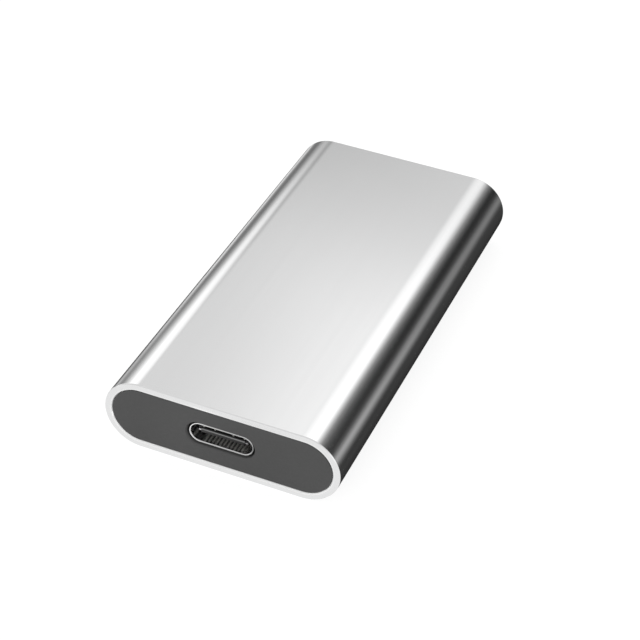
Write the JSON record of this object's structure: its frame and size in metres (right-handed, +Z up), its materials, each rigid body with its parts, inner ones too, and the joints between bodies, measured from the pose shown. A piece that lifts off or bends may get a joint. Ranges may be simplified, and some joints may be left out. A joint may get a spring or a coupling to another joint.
{
  "type": "portable solid state drive",
  "caption": "Slim pocket drive: polished aluminium tube with round sides, dark plastic end caps and a type C socket in the front cap.",
  "frame": {"origin": "middle of the flat underside, below the centre of the tube", "axes": "+Z up from the surface it lies on, +Y along the tube from the socket end to the closed end, X across"},
  "size_m": [0.032, 0.0632, 0.01],
  "materials": {
    "tube_metal": "polished and clear anodised, with fine drawing lines along the tube",
    "cap_plastic": "matt moulded, dark grey",
    "socket_steel": "bright nickel plate",
    "socket_resin": "matt black moulding",
    "plated_steel": "plated, satin",
    "contact_metal": "gold plate",
    "board_laminate": "dark green solder mask over glass laminate",
    "chip_resin": "moulded chip resin",
    "coil_ferrite": "pressed ferrite",
    "small_part_ceramic": "fired ceramic with tinned ends",
    "heat_pad": "soft silicone pad",
    "film": "amber polyimide film"
  },
  "bodies": {
    "root": {"tube": "tube_metal", "front_cap": "cap_plastic", "rear_cap": "cap_plastic", "usb_c_shell": "socket_steel", "usb_c_tongue": "socket_resin", "usb_c_mid_plate": "plated_steel", "usb_c_upper_contacts": "contact_metal", "usb_c_lower_contacts": "contact_metal", "bridge_board": "board_laminate", "bridge_chip": "chip_resin", "firmware_chip": "chip_resin", "crystal_can": "plated_steel", "surge_arrays": "chip_resin", "power_inductors": "coil_ferrite", "power_switch": "chip_resin", "board_capacitors": "small_part_ceramic", "board_resistors": "chip_resin", "module_socket": "socket_resin", "socket_contacts": "contact_metal", "module_nut": "plated_steel", "module_screw": "plated_steel", "module_board": "board_laminate", "module_fingers": "contact_metal", "controller_chip": "chip_resin", "flash_chips": "chip_resin", "power_chip": "chip_resin", "module_capacitors": "small_part_ceramic", "thermal_pad": "heat_pad", "insulating_film": "film"}
  },
  "joints": []
}
